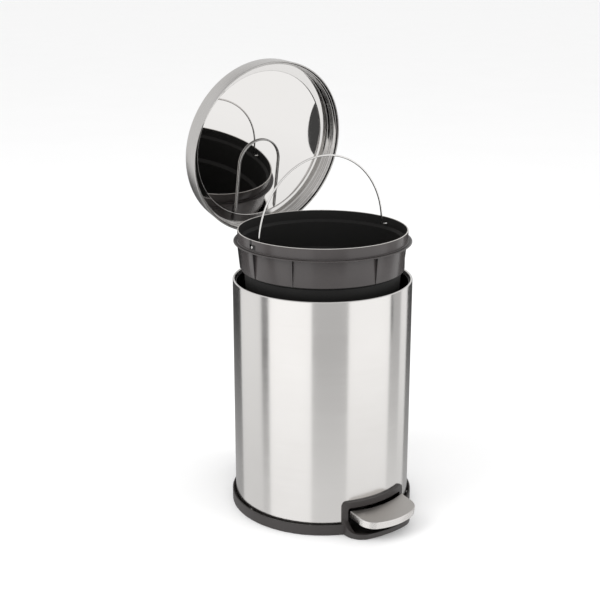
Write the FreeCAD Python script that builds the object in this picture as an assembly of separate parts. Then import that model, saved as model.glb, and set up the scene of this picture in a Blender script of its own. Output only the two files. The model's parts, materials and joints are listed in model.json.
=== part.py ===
import FreeCAD, Part
import math
import os

os.makedirs("parts", exist_ok=True)

V = FreeCAD.Vector
X_AXIS = V(1, 0, 0)
Z_AXIS = V(0, 0, 1)
ORIGIN = V(0, 0, 0)

# Pedal trash can with a round steel body, a lift-out bucket and a hinged lid.
# Origin: floor level on the body's axis. The pedal is at -Y, the hinge at +Y, +Z is up.
# The stored pose has the lid open, the pedal down, the bucket raised and its bail upright.

# ---- fits ----
RUN = 0.05            # radial clearance of a pin or shaft that turns or slides
PRESS = 0.02          # radial clearance of a pin, rivet or screw that stays put
FIT = 0.15            # gap between two pieces that are fixed together
GAP = 0.3             # gap between curved faces of pieces that move apart

# ---- fasteners ----
SCREW_R = 1.5
RIVET_R = 1.6
LID_RIVET_R = 1.2

# ---- steel body ----
SHELL_R = 145.0       # outside radius
SHELL_WALL = 0.8
RIM_Z = 386.0         # top of the rolled rim
RIM_BEAD = 1.8        # radius of the rolled rim's bead
MOUTH_STEP = 5.4      # black ring in the mouth, in from the steel wall
MOUTH_H = 28.0

# ---- base ----
BASE_LIP = 5.6        # base ring, out from the steel body
BASE_Z = 0.8          # underside of the base, above the floor
BASE_FLOOR = 2.5      # thickness of the base's floor
BASE_WALL = 2.4
BASE_TOP = 17.3       # top of the base ring
SEAT_Z = 8.0          # ledge that the steel body stands on
SPIGOT_WALL = 3.0     # upstand inside the steel body
SPIGOT_TOP = 20.0
PAD_INSET = 14.6      # anti-slip pad, in from the base ring
PAD_T = 1.8
RIVET_Z = 13.0        # rivets through the base's upstand
RIVET_TURNS = (45.0, 90.0, 135.0)

# ---- pedal opening and toe guard, moulded with the base ----
DOOR_HALF = 54.0      # half width of the opening
DOOR_TOP = 44.0
DOOR_CORNER = 4.0
FRAME_OUT = 4.4       # frame, out from the steel body
FRAME_SIDE = 8.0      # width of the frame beside the opening
LINTEL_H = 10.0       # height of the frame over the opening
FRAME_CORNER = 7.0
GUARD_OUT = 33.0      # toe guard, out from the steel body
GUARD_CORNER = 30.0
GUARD_WALL = 4.0      # toe guard's front wall; its sides are as wide as the frame's
GUARD_THICK = 6.0     # extra radius that thickens the toe guard's corners inside
GUARD_LIP = 9.5       # height of the toe guard's lip

# ---- pedal, lever and axle ----
AXLE_Y = -75.0
AXLE_Z = 20.0
AXLE_R = 3.0
BUSH_R = 5.0
LEVER_TUBE_R = 7.5
LEVER_HALF = 12.0     # half width of the steel bar
LEVER_T = 3.0
LEVER_RISE = 6.0      # slope of the back arm with the pedal down, degrees
PEDAL_TURN = 7.5      # pedal travel, degrees
PIN_R = 2.5           # pins at both ends of the push rod
PEDAL_SIDE = 0.5      # pedal's side, in from the side of the opening
PEDAL_OUT = 49.5      # pedal, out from the steel body
PEDAL_CORNER = 26.0
PEDAL_NOSE = 110.0    # radius of the pedal's curved front
PEDAL_SKIRT = 12.0
PEDAL_WALL = 0.8
PEDAL_BACK_GAP = 0.8  # cap's back edge in front of the frame's face, pedal up
BAR_GAP = 6.9         # lever's front end below the lintel, pedal up
BAR_DROP = 14.0       # top of the cap above the lever's front end
BAR_INSET = 18.0      # lever's front end, in from the pedal's front
BAR_BEND = 17.0       # where the front end turns down, in from the steel body
POST_HALF = 12.0      # axle posts, half length along Y
POST_IN = 30.0
POST_OUT = 38.0
POST_SCREW = 8.0      # screws of the axle caps, either side of the axle
CAP_H = 6.0
PASS_GAP = 2.0        # room beside the lever where it leaves the steel body
PASS_ROOM = 12.0      # room above the lever's pin there

# ---- hinge ----
HINGE_OUT = 38.0      # hinge line, out from the steel body
HINGE_UP = 9.0        # hinge line above the rim
HINGE_PIN_R = 3.0
KNUCKLE_R = 6.0
KNUCKLE_HALF = 17.0   # half width of the knuckle's plate on the lid
EAR_R = 8.0
EAR_IN = 19.0         # inside faces of the bracket's ears
EAR_T = 3.0
LID_OPEN = 80.5       # opening angle from closed to the stop, degrees
BRACKET_DROP = 10.0   # top of the bracket's plate below the rim
BRACKET_H = 58.0
BRACKET_RIVET_X = 11.0
BRACKET_RIVET_UP = (9.0, 27.0)
PLATE_T = 2.0
CHEEK_IN = 3.0
CHEEK_T = 3.0

# ---- push rod and rear cover ----
ROD_R = 3.0
EYE_T = 4.0
GUIDE_LOW = 130.0     # height of the lower rod guide
GUIDE_DROP = 72.0     # upper guide below the top of the cover
COVER_SIDE = 6.0      # cover's side, out from the bracket's ears
COVER_BEHIND = 9.0    # cover's back, behind the hinge line
COVER_WALL = 2.0
COVER_CORNER = 10.0
COVER_DROP = 24.0     # top of the cover below the rim
COVER_FLANGE = 8.0
COVER_SCREW_END = 32.5

# ---- lid, drawn closed ----
LID_GAP = 0.8         # lid's edge above the rim
LID_LIP = 2.0         # lid's edge, out from the steel body
LID_TAPER = 2.6
LID_DEPTH = 33.0
LID_WALL = 0.8
LID_CORNER = 4.0
LID_EDGE = 1.2        # height of the widest line above the lid's free edge
MIRROR_BACK = 6.3     # mirror's face, in from the lid's outside
MIRROR_LAP = 4.0      # mirror's edge behind the ring
MIRROR_T = 0.8
RING_INSET = 21.5     # inner edge of the inner ring, in from the lid's edge
LINER_INSET = 6.0     # upright part of the inner ring, in from the lid's edge
BEADS = (10.4, 14.6)  # depths of the two beads on the upright part
BEAD_R = 0.9
LOOP_HALF = 40.0      # wire loop on the mirror
LOOP_TOP = -8.0
LOOP_EDGE = 3.0       # loop's feet, in from the inner ring's edge
LOOP_WIRE = 1.5
LOOP_BEND = 4.0
LID_RIVET_X = 10.0
LID_RIVET_UP = (18.0, 22.5)

# ---- bucket and bail ----
LIFT = 60.0           # height of the bucket above its seat in the stored pose
BUCKET_LOW = 46.0     # underside of the bucket above the floor when it is seated
BAND_GAP = 4.4        # bucket's rim band inside the lid's liner
BAND_H = 17.7
BUCKET_WALL = 2.0
FLANGE_INSET = 2.0    # bucket's flange, in from the steel body
FLANGE_T = 2.0
NECK_INSET = 4.6      # neck below the flange, in from the rim band
SHOULDER_DROP = 63.0  # shoulder below the bucket's rim
BODY_INSET = 6.0      # body below the shoulder, in from the neck
BODY_TAPER = 14.0
BOTTOM_CORNER = 8.0
RIB_T = 1.6
RIB_GAP = 1.3         # ribs inside the ring in the mouth
RIB_SPREAD = 32.0     # ribs either side of each pivot, degrees
PIVOT_DROP = 11.0     # bail pivots below the bucket's rim
BAIL_INSET = 13.0     # bail's upright legs, in from the rim band
BAIL_LEG = 4.0
BAIL_WIRE = 1.5
BAIL_BEND = 3.0

# ---- worked out: body, base and pedal ----
SHELL_IN = SHELL_R - SHELL_WALL
OUT_R = SHELL_R + FIT
MOUTH_R = SHELL_IN - MOUTH_STEP
BASE_R = SHELL_R + BASE_LIP
PAD_R = BASE_R - PAD_INSET
FLOOR_TOP = BASE_Z + BASE_FLOOR
FRAME_R = SHELL_R + FRAME_OUT
FRAME_HALF = DOOR_HALF + FRAME_SIDE
FRAME_TOP = DOOR_TOP + LINTEL_H
GUARD_REACH = SHELL_R + GUARD_OUT
BASE_RIVETS = [side * turn for side in (-1, 1) for turn in RIVET_TURNS]
PEDAL_HALF = DOOR_HALF - PEDAL_SIDE
PEDAL_REACH = SHELL_R + PEDAL_OUT
BAR_TOP = DOOR_TOP - BAR_GAP
PEDAL_TOP = BAR_TOP + BAR_DROP
BAR_END = BAR_INSET - PEDAL_REACH
BACK_R = FRAME_R + PEDAL_BACK_GAP
POST_X = (POST_IN + POST_OUT) / 2
POST_SCREWS = [(x, AXLE_Y + y) for x in (-POST_X, POST_X) for y in (-POST_SCREW, POST_SCREW)]
PASS_HALF = LEVER_HALF + PASS_GAP

# ---- worked out: hinge, lever and push rod ----
# The back arm's length puts the lever's pin and the crank's pin under each other,
# halfway through their travels, and gives both the same stroke.
HINGE_Y = SHELL_R + HINGE_OUT
HINGE_Z = RIM_Z + HINGE_UP
UP = math.radians(LEVER_RISE)
DOWN = math.radians(LEVER_RISE - PEDAL_TURN)
HALF_OPEN = math.radians(LID_OPEN / 2)
CRANK_SHARE = (math.sin(UP) - math.sin(DOWN)) / (2 * math.sin(HALF_OPEN))
LEVER_MEAN = (math.cos(UP) + math.cos(DOWN)) / 2
CRANK_MEAN = (1 + math.cos(HALF_OPEN)) / 2
LEVER_BACK = (HINGE_Y - AXLE_Y) / (LEVER_MEAN + CRANK_SHARE * CRANK_MEAN)
CRANK_R = LEVER_BACK * CRANK_SHARE
CRANK_DRIFT = CRANK_R * (1 - math.cos(HALF_OPEN)) / 2
CRANK_TOP = HINGE_Z + CRANK_R * math.sin(HALF_OPEN)
ROD_Y = HINGE_Y - CRANK_R * CRANK_MEAN
LEVER_PIN_Y = AXLE_Y + LEVER_BACK * math.cos(UP)
LEVER_PIN_Z = AXLE_Z + LEVER_BACK * math.sin(UP)
PASS_TOP = LEVER_PIN_Z + PASS_ROOM
BRACKET_TOP = RIM_Z - BRACKET_DROP
BRACKET_LOW = BRACKET_TOP - BRACKET_H
BRACKET_RIVETS = [
    (x, BRACKET_LOW + up)
    for x in (-BRACKET_RIVET_X, BRACKET_RIVET_X)
    for up in BRACKET_RIVET_UP
]
COVER_HALF = EAR_IN + EAR_T + COVER_SIDE
COVER_BACK = HINGE_Y + COVER_BEHIND
COVER_TOP = RIM_Z - COVER_DROP
FLANGE_HALF = COVER_HALF + COVER_FLANGE
COVER_SCREW_X = (COVER_HALF + FLANGE_HALF) / 2
COVER_SCREW_Z = (
    BASE_TOP + COVER_SCREW_END,
    (BASE_TOP + COVER_TOP) / 2,
    COVER_TOP - COVER_SCREW_END,
)
COVER_SCREWS = [(x, z) for x in (-COVER_SCREW_X, COVER_SCREW_X) for z in COVER_SCREW_Z]
GUIDES = (GUIDE_LOW, COVER_TOP - GUIDE_DROP)

# ---- worked out: lid, bucket and bail ----
LID_Z = RIM_Z + LID_GAP
LID_R = SHELL_R + LID_LIP
LID_TOP_R = LID_R - LID_TAPER
MIRROR_DEPTH = LID_DEPTH - MIRROR_BACK
RING_IN = LID_R - RING_INSET
LINER_R = LID_R - LINER_INSET
MIRROR_R = RING_IN + MIRROR_LAP
LOOP_FOOT = math.sqrt((RING_IN - LOOP_EDGE) ** 2 - LOOP_HALF ** 2)
LOOP_Z = LID_Z + MIRROR_DEPTH - GAP - LOOP_WIRE
LOOP_FEET = [(-LOOP_HALF, LOOP_FOOT), (LOOP_HALF, LOOP_FOOT)]
LID_RIVETS = [(x, LID_Z + up) for x in (-LID_RIVET_X, LID_RIVET_X) for up in LID_RIVET_UP]
FLANGE_Z = RIM_Z + GAP + LIFT
BUCKET_TOP = FLANGE_Z + FLANGE_T + BAND_H
BUCKET_BOTTOM = BUCKET_LOW + LIFT
PIVOT_Z = BUCKET_TOP - PIVOT_DROP
FLANGE_R = SHELL_R - FLANGE_INSET
BAND_R = LINER_R - BAND_GAP
NECK_R = BAND_R - NECK_INSET
BODY_R = NECK_R - BODY_INSET
BOTTOM_R = BODY_R - BODY_TAPER
RIB_OUT = MOUTH_R - RIB_GAP
RIB_ANGLES = [side + turn for side in (0, 180) for turn in (-RIB_SPREAD, 0, RIB_SPREAD)]
RIB_ANGLES += [90, 270]
BAIL_R = BAND_R - BAIL_INSET


# ---- helpers ----
def box(x0, x1, y0, y1, z0, z1):
    return Part.makeBox(x1 - x0, y1 - y0, z1 - z0, V(x0, y0, z0))


def rod_z(r, x, y, z0, z1):
    return Part.makeCylinder(r, z1 - z0, V(x, y, z0), Z_AXIS)


def rod_x(r, x0, x1, y, z):
    return Part.makeCylinder(r, x1 - x0, V(x0, y, z), X_AXIS)


def ring(r_out, r_in, z0, z1):
    return rod_z(r_out, 0, 0, z0, z1).cut(rod_z(r_in, 0, 0, z0 - 1, z1 + 1))


def joined(shapes):
    whole = shapes[0]
    for shape in shapes[1:]:
        whole = whole.fuse(shape)
    return whole.removeSplitter()


def group(shapes):
    return Part.makeCompound(shapes)


def outline(place, start, *steps):
    """A closed face. A step is a point, or a pair of points for an arc through the first."""
    edges = []
    here = place(*start)
    for step in steps + (start,):
        if isinstance(step[0], tuple):
            middle = place(*step[0])
            end = place(*step[1])
            edges.append(Part.Arc(here, middle, end).toShape())
        else:
            end = place(*step)
            if here.distanceToPoint(end) < 1e-7:
                continue
            edges.append(Part.LineSegment(here, end).toShape())
        here = end
    return Part.Face(Part.Wire(edges))


def radial(r, z):
    return V(r, 0, z)


def spun(start, *steps):
    return outline(radial, start, *steps).revolve(ORIGIN, Z_AXIS, 360)


def side_plate(x0, x1, start, *steps):
    """A flat plate across X, drawn from the side as (y, z)."""
    face = outline(lambda y, z: V(x0, y, z), start, *steps)
    return face.extrude(V(x1 - x0, 0, 0))


def front_window(half, z0, z1, corner, y0, y1):
    """A prism along Y with rounded top corners."""
    bend = corner * (1 - math.sqrt(0.5))
    face = outline(
        lambda x, z: V(x, y0, z),
        (-half, z0),
        (half, z0),
        (half, z1 - corner),
        ((half - bend, z1 - bend), (half - corner, z1)),
        (corner - half, z1),
        ((bend - half, z1 - bend), (-half, z1 - corner)),
    )
    return face.extrude(V(0, y1 - y0, 0))


def tab(half, reach, corner, z0, z1, nose=None, back=AXLE_Y):
    """A rounded tongue towards -Y; its front follows the body's axis, or a nose radius."""
    nose = nose or reach
    centre_y = nose - reach
    body = rod_z(nose, 0, centre_y, z0, z1)
    body = body.common(box(-half, half, -reach - 1, back, z0, z1))
    front_y = centre_y - math.sqrt(nose ** 2 - half ** 2)
    corners = []
    for edge in body.Edges:
        box_of = edge.BoundBox
        upright = box_of.ZLength > (z1 - z0) * 0.99
        if upright and abs(box_of.YMin - front_y) < 0.01:
            corners.append(edge)
    return body.makeFillet(corner, corners)


def channel(half, back, corner, z0, z1, front=0.0):
    """A rounded block towards +Y with a flat back."""
    body = box(-half, half, front, back, z0, z1)
    corners = []
    for edge in body.Edges:
        box_of = edge.BoundBox
        if box_of.ZLength > (z1 - z0) * 0.99 and abs(box_of.YMin - back) < 0.01:
            corners.append(edge)
    return body.makeFillet(corner, corners)


def at_wall(shape, x, z):
    """Places a shape drawn along +Y from the wall's face, on the back of the body."""
    turn = math.degrees(math.asin(x / SHELL_R))
    placed = shape.copy()
    placed.translate(V(0, 0, z))
    placed.rotate(ORIGIN, Z_AXIS, -turn)
    return placed


def wall_stud(shank_r, y0, y1, head_r, head_y, head_t):
    shank = Part.makeCylinder(shank_r, y1 - y0, V(0, y0, 0), V(0, 1, 0))
    head = Part.makeCylinder(head_r, head_t, V(0, head_y, 0), V(0, 1, 0))
    return shank.fuse(head)


def opened(shape):
    """Turns a shape that is drawn with the lid closed to the stored, open pose."""
    turned = shape.copy()
    turned.rotate(V(0, HINGE_Y, HINGE_Z), X_AXIS, -LID_OPEN)
    return turned


def pressed(shape):
    """Turns a shape that is drawn with the pedal up to the stored pose, pedal down."""
    turned = shape.copy()
    turned.rotate(V(0, AXLE_Y, AXLE_Z), X_AXIS, PEDAL_TURN)
    return turned


def save(name, shape):
    shape.exportStep("parts/" + name + ".step")


# ---- steel body ----
def make_shell():
    bead_r = SHELL_R - RIM_BEAD
    bead_z = RIM_Z - RIM_BEAD
    low = RIM_BEAD * math.sqrt(0.5)
    tube = spun(
        (SHELL_R, SEAT_Z),
        (SHELL_R, bead_z),
        ((bead_r, RIM_Z), (bead_r - RIM_BEAD, bead_z)),
        ((bead_r - low, bead_z - low), (bead_r, bead_z - RIM_BEAD)),
        (SHELL_IN, bead_z - RIM_BEAD),
        (SHELL_IN, SEAT_Z),
    )
    door = front_window(DOOR_HALF + 2, 0, DOOR_TOP + 2, DOOR_CORNER, -SHELL_R - 5, AXLE_Y)
    tube = tube.cut(door)
    tube = tube.cut(box(-PASS_HALF, PASS_HALF, 0, SHELL_R + 5, 0, PASS_TOP))
    for x, z in COVER_SCREWS:
        hole = Part.makeCylinder(SCREW_R + RUN, 20, V(0, SHELL_R - 10, 0), V(0, 1, 0))
        tube = tube.cut(at_wall(hole, x, z))
    for x, z in BRACKET_RIVETS:
        hole = Part.makeCylinder(RIVET_R + RUN, 20, V(0, SHELL_R - 10, 0), V(0, 1, 0))
        tube = tube.cut(at_wall(hole, x, z))
    for angle in BASE_RIVETS:
        hole = Part.makeCylinder(RIVET_R + RUN, 20, V(0, SHELL_R - 10, RIVET_Z), V(0, 1, 0))
        hole.rotate(ORIGIN, Z_AXIS, angle)
        tube = tube.cut(hole)
    return tube


save("shell", make_shell())


# ---- black ring in the mouth of the body ----
mouth_out = SHELL_IN - FIT
mouth_top = RIM_Z - 2 * RIM_BEAD - 2.0
mouth_ring = spun(
    (mouth_out, mouth_top),
    (MOUTH_R, mouth_top),
    (MOUTH_R, mouth_top - 3.0),
    (mouth_out - 1.8, mouth_top - 4.5),
    (mouth_out - 1.8, mouth_top - MOUTH_H),
    (mouth_out, mouth_top - MOUTH_H),
)
save("mouth_ring", mouth_ring)


# ---- base with pedal frame, toe guard and axle posts ----
def make_base():
    floor = rod_z(BASE_R, 0, 0, BASE_Z, FLOOR_TOP)
    wall = ring(BASE_R, BASE_R - BASE_WALL, BASE_Z, BASE_TOP)
    ledge = ring(BASE_R - 1, SHELL_IN - FIT - SPIGOT_WALL, BASE_Z, SEAT_Z)
    spigot = ring(SHELL_IN - FIT, SHELL_IN - FIT - SPIGOT_WALL, BASE_Z, SPIGOT_TOP)
    guard = tab(FRAME_HALF, GUARD_REACH, GUARD_CORNER, BASE_Z, DOOR_TOP)
    guard = guard.cut(rod_z(SHELL_R, 0, 0, BASE_Z, DOOR_TOP + 1))
    hollow = tab(
        DOOR_HALF,
        GUARD_REACH - GUARD_WALL,
        GUARD_CORNER - GUARD_WALL + GUARD_THICK,
        FLOOR_TOP,
        DOOR_TOP + 1,
    )
    side_y = -math.sqrt(FRAME_R ** 2 - FRAME_HALF ** 2)
    above = side_plate(
        -FRAME_HALF - 5,
        FRAME_HALF + 5,
        (side_y - 1.5, DOOR_TOP + 2),
        ((side_y - 8.0, GUARD_LIP + 8.0), (side_y - 24.0, GUARD_LIP)),
        (-GUARD_REACH - 5, GUARD_LIP - 1.0),
        (-GUARD_REACH - 5, DOOR_TOP + 2),
    )
    guard = guard.cut(hollow).cut(above)
    frame = ring(FRAME_R, OUT_R, BASE_Z, FRAME_TOP)
    frame = frame.common(
        front_window(FRAME_HALF, BASE_Z, FRAME_TOP, FRAME_CORNER, -FRAME_R - 1, AXLE_Y)
    )
    foot = channel(COVER_HALF + 3, COVER_BACK + 3, COVER_CORNER, BASE_Z, BASE_TOP)
    foot = foot.cut(rod_z(SHELL_IN, 0, 0, BASE_Z - 1, BASE_TOP + 1))
    pocket = channel(COVER_HALF, COVER_BACK, COVER_CORNER - 3, FLOOR_TOP, BASE_TOP + 1)
    pocket = pocket.cut(rod_z(BASE_R - BASE_WALL / 2, 0, 0, BASE_Z, BASE_TOP + 2))
    posts = []
    for side in (-1, 1):
        x0, x1 = sorted((side * POST_IN, side * POST_OUT))
        posts.append(
            box(x0, x1, AXLE_Y - POST_HALF, AXLE_Y + POST_HALF, BASE_Z, AXLE_Z)
        )
    whole = joined([floor, wall, ledge, spigot, foot.cut(pocket), guard] + posts)
    whole = whole.fuse(frame)
    whole = whole.cut(ring(OUT_R, SHELL_IN - FIT, SEAT_Z, SPIGOT_TOP + 5))
    post_front = AXLE_Y - POST_HALF - 2
    door = front_window(
        DOOR_HALF, FLOOR_TOP, DOOR_TOP, DOOR_CORNER, -FRAME_R - 8, post_front
    )
    whole = whole.cut(door)
    whole = whole.cut(
        box(-PASS_HALF, PASS_HALF, SHELL_R - 25, BASE_R + 2, FLOOR_TOP, PASS_TOP)
    )
    whole = whole.cut(rod_z(PAD_R + FIT, 0, 0, 0, PAD_T))
    whole = whole.cut(rod_x(AXLE_R + PRESS, -POST_OUT - 1, POST_OUT + 1, AXLE_Y, AXLE_Z))
    for x, y in POST_SCREWS:
        whole = whole.cut(rod_z(SCREW_R + PRESS, x, y, AXLE_Z - 10, AXLE_Z + 1))
    for angle in BASE_RIVETS:
        hole = Part.makeCylinder(RIVET_R + PRESS, 4.5, V(0, SHELL_R - 5, RIVET_Z), V(0, 1, 0))
        hole.rotate(ORIGIN, Z_AXIS, angle)
        whole = whole.cut(hole)
    return whole.removeSplitter()


save("base", make_base())
save("floor_pad", rod_z(PAD_R, 0, 0, 0, PAD_T))


def base_rivet(angle):
    body = wall_stud(RIVET_R, SHELL_R - 4.2, SHELL_R + 0.1, 2.6, SHELL_R + 0.1, 0.9)
    body.translate(V(0, 0, RIVET_Z))
    body.rotate(ORIGIN, Z_AXIS, angle)
    return body


save("base_rivets", group([base_rivet(angle) for angle in BASE_RIVETS]))

# ---- axle, its caps and their screws ----
save("pedal_axle", rod_x(AXLE_R, -POST_OUT, POST_OUT, AXLE_Y, AXLE_Z))
axle_caps = []
for side in (-1, 1):
    x0, x1 = sorted((side * POST_IN, side * POST_OUT))
    cap = box(x0, x1, AXLE_Y - POST_HALF, AXLE_Y + POST_HALF, AXLE_Z, AXLE_Z + CAP_H)
    cap = cap.cut(rod_x(AXLE_R + PRESS, x0 - 1, x1 + 1, AXLE_Y, AXLE_Z))
    for x, y in POST_SCREWS:
        cap = cap.cut(rod_z(SCREW_R + RUN, x, y, AXLE_Z - 1, AXLE_Z + CAP_H + 1))
    axle_caps.append(cap)
save("axle_caps", group(axle_caps))


def post_screw(x, y):
    shank = rod_z(SCREW_R, x, y, AXLE_Z - 9, AXLE_Z + CAP_H)
    head = rod_z(2.8, x, y, AXLE_Z + CAP_H, AXLE_Z + CAP_H + 1.8)
    return shank.fuse(head)


save("axle_cap_screws", group([post_screw(x, y) for x, y in POST_SCREWS]))

# ---- pedal lever ----
bar_bend = BAR_BEND - SHELL_R
lever_front = side_plate(
    -LEVER_HALF,
    LEVER_HALF,
    (BAR_END, BAR_TOP),
    (bar_bend, BAR_TOP),
    (AXLE_Y - 4, AXLE_Z + LEVER_T),
    (AXLE_Y, AXLE_Z - LEVER_T / 2),
    (bar_bend - 1.5, BAR_TOP - LEVER_T),
    (BAR_END, BAR_TOP - LEVER_T),
)
lever_front = pressed(lever_front)
lever_back = box(
    -LEVER_HALF,
    LEVER_HALF,
    AXLE_Y,
    AXLE_Y + LEVER_BACK - 25,
    AXLE_Z - LEVER_T / 2,
    AXLE_Z + LEVER_T / 2,
)
lever_end = box(
    -9,
    9,
    AXLE_Y + LEVER_BACK - 26,
    AXLE_Y + LEVER_BACK,
    AXLE_Z - LEVER_T / 2,
    AXLE_Z + LEVER_T / 2,
)
lever_eye = rod_x(5.0, -9, 9, AXLE_Y + LEVER_BACK, AXLE_Z)
fork = box(-3.0, 3.0, AXLE_Y + LEVER_BACK - 14, AXLE_Y + LEVER_BACK + 10, 0, 60)
lever_back = joined([lever_back, lever_end, lever_eye]).cut(fork)
lever_back.rotate(V(0, AXLE_Y, AXLE_Z), X_AXIS, LEVER_RISE)
lever_tube = rod_x(LEVER_TUBE_R, -POST_IN + 1, POST_IN - 1, AXLE_Y, AXLE_Z)
lever = joined([lever_front, lever_back, lever_tube])
lever = lever.cut(rod_x(BUSH_R, -POST_IN, POST_IN, AXLE_Y, AXLE_Z))
lever = lever.cut(rod_x(PIN_R + PRESS, -10, 10, LEVER_PIN_Y, LEVER_PIN_Z))
PEDAL_RIVETS = [(x, y) for x in (-7.0, 7.0) for y in (BAR_END + 5, BAR_END + 17)]
for x, y in PEDAL_RIVETS:
    lever = lever.cut(pressed(rod_z(RIVET_R + PRESS, x, y, 0, 60)))
save("pedal_lever", lever)

bush = rod_x(BUSH_R, -POST_IN + 0.5, POST_IN - 0.5, AXLE_Y, AXLE_Z)
bush = bush.cut(rod_x(AXLE_R + RUN, -POST_IN, POST_IN, AXLE_Y, AXLE_Z))
save("lever_bush", bush)

lever_pin = rod_x(PIN_R, -10.5, 10.5, LEVER_PIN_Y, LEVER_PIN_Z)
pin_heads = [rod_x(4, x, x + 1.2, LEVER_PIN_Y, LEVER_PIN_Z) for x in (-10.5, 9.3)]
save("lever_pin", joined([lever_pin] + pin_heads))

# ---- pedal: plastic tread body under a pressed steel cap ----
def make_cap():
    top = PEDAL_TOP
    low = PEDAL_TOP - PEDAL_SKIRT
    full = tab(PEDAL_HALF, PEDAL_REACH, PEDAL_CORNER, low, top, PEDAL_NOSE)
    full = full.cut(rod_z(BACK_R, 0, 0, low - 1, top + 1))
    crown = [e for e in full.Edges if abs(e.BoundBox.ZMin - top) < 1e-6]
    full = full.makeFillet(1.6, crown)
    inner = tab(
        PEDAL_HALF - PEDAL_WALL,
        PEDAL_REACH - PEDAL_WALL,
        PEDAL_CORNER - PEDAL_WALL,
        low - 1,
        top - PEDAL_WALL,
        PEDAL_NOSE - PEDAL_WALL,
    )
    inner = inner.cut(rod_z(BACK_R - 2, 0, 0, low - 2, top + 1))
    rim = [e for e in inner.Edges if abs(e.BoundBox.ZMin - (top - PEDAL_WALL)) < 1e-6]
    return full.cut(inner.makeFillet(1.0, rim))


def make_tread():
    low = BAR_TOP
    top = PEDAL_TOP - PEDAL_WALL - 0.1
    slack = PEDAL_WALL + 0.2
    body = tab(
        PEDAL_HALF - slack,
        PEDAL_REACH - slack,
        PEDAL_CORNER - slack,
        low + 3.5,
        top,
        PEDAL_NOSE - slack,
    )
    body = body.cut(rod_z(BACK_R + slack, 0, 0, low - 1, top + 1))
    edge = [e for e in body.Edges if abs(e.BoundBox.ZMin - top) < 1e-6]
    body = body.makeFillet(1.2, edge)
    spine = box(-LEVER_HALF - 6, LEVER_HALF + 6, BAR_END - 2, BAR_END + 24, low, low + 4)
    body = body.fuse(spine)
    for x, y in PEDAL_RIVETS:
        body = body.cut(rod_z(RIVET_R + PRESS, x, y, low - 1, low + 7))
    return body.removeSplitter()


save("pedal_cap", pressed(make_cap()))
save("pedal_tread", pressed(make_tread()))


def pedal_rivet(x, y):
    low = BAR_TOP - LEVER_T
    shank = rod_z(RIVET_R, x, y, low, BAR_TOP + 6)
    head = rod_z(3.0, x, y, low - 1.0, low)
    return shank.fuse(head)


save("pedal_rivets", pressed(group([pedal_rivet(x, y) for x, y in PEDAL_RIVETS])))

# ---- push rod with a slotted eye at each end ----
SLOT_TOP = CRANK_DRIFT + PIN_R + 0.6
SLOT_LOW = PIN_R + 1.6
SLOT_HALF = PIN_R + 1.0


def eye(y, z, half_y, half_z):
    plate = box(-EYE_T / 2, EYE_T / 2, y - half_y, y + half_y, z - half_z, z + half_z)
    edges = [e for e in plate.Edges if e.BoundBox.XLength > EYE_T * 0.99]
    return plate.makeFillet(min(half_y, half_z) * 0.8, edges)


def slot(y, z, half_y, half_z):
    straight = half_y - half_z
    parts = [rod_x(half_z, -5, 5, y - straight, z), rod_x(half_z, -5, 5, y + straight, z)]
    parts.append(box(-5, 5, y - straight, y + straight, z - half_z, z + half_z))
    return joined(parts)


rod = rod_z(ROD_R, 0, ROD_Y, LEVER_PIN_Z + SLOT_HALF + 1.5, CRANK_TOP - SLOT_HALF - 1.5)
rod = rod.fuse(eye(ROD_Y, LEVER_PIN_Z, SLOT_LOW + 3.5, SLOT_HALF + 3.5))
rod = rod.fuse(eye(ROD_Y, CRANK_TOP, SLOT_TOP + 3.0, SLOT_HALF + 3.5))
rod = rod.cut(slot(ROD_Y, LEVER_PIN_Z, SLOT_LOW, SLOT_HALF))
rod = rod.cut(slot(ROD_Y, CRANK_TOP, SLOT_TOP, SLOT_HALF))
save("push_rod", rod.removeSplitter())

guides = []
for z in GUIDES:
    block = box(-9, 9, SHELL_R - 5, ROD_Y + ROD_R + 5, z - 4, z + 4)
    block = block.cut(rod_z(OUT_R, 0, 0, z - 5, z + 5))
    guides.append(block.cut(rod_z(ROD_R + RUN, 0, ROD_Y, z - 5, z + 5)))
save("rod_guides", group(guides))


# ---- rear cover over the push rod ----
def make_rear_cover():
    z0 = BASE_TOP + 0.1
    outer = channel(COVER_HALF, COVER_BACK, COVER_CORNER, z0, COVER_TOP)
    inner = channel(
        COVER_HALF - COVER_WALL,
        COVER_BACK - COVER_WALL,
        COVER_CORNER - COVER_WALL,
        z0 - 1,
        COVER_TOP + 1,
    )
    flange = ring(OUT_R + PLATE_T, OUT_R, z0, COVER_TOP)
    flange = flange.common(box(-FLANGE_HALF, FLANGE_HALF, 0, COVER_BACK, z0, COVER_TOP))
    body = outer.fuse(flange).cut(inner).cut(rod_z(OUT_R, 0, 0, z0 - 1, COVER_TOP + 1))
    for x, z in COVER_SCREWS:
        hole = Part.makeCylinder(SCREW_R + RUN, 20, V(0, SHELL_R - 10, 0), V(0, 1, 0))
        body = body.cut(at_wall(hole, x, z))
    return body.removeSplitter()


save("rear_cover", make_rear_cover())
cover_screw = wall_stud(SCREW_R, SHELL_R - 5, OUT_R + PLATE_T, 3.0, OUT_R + PLATE_T, 1.6)
save("cover_screws", group([at_wall(cover_screw, x, z) for x, z in COVER_SCREWS]))


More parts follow.
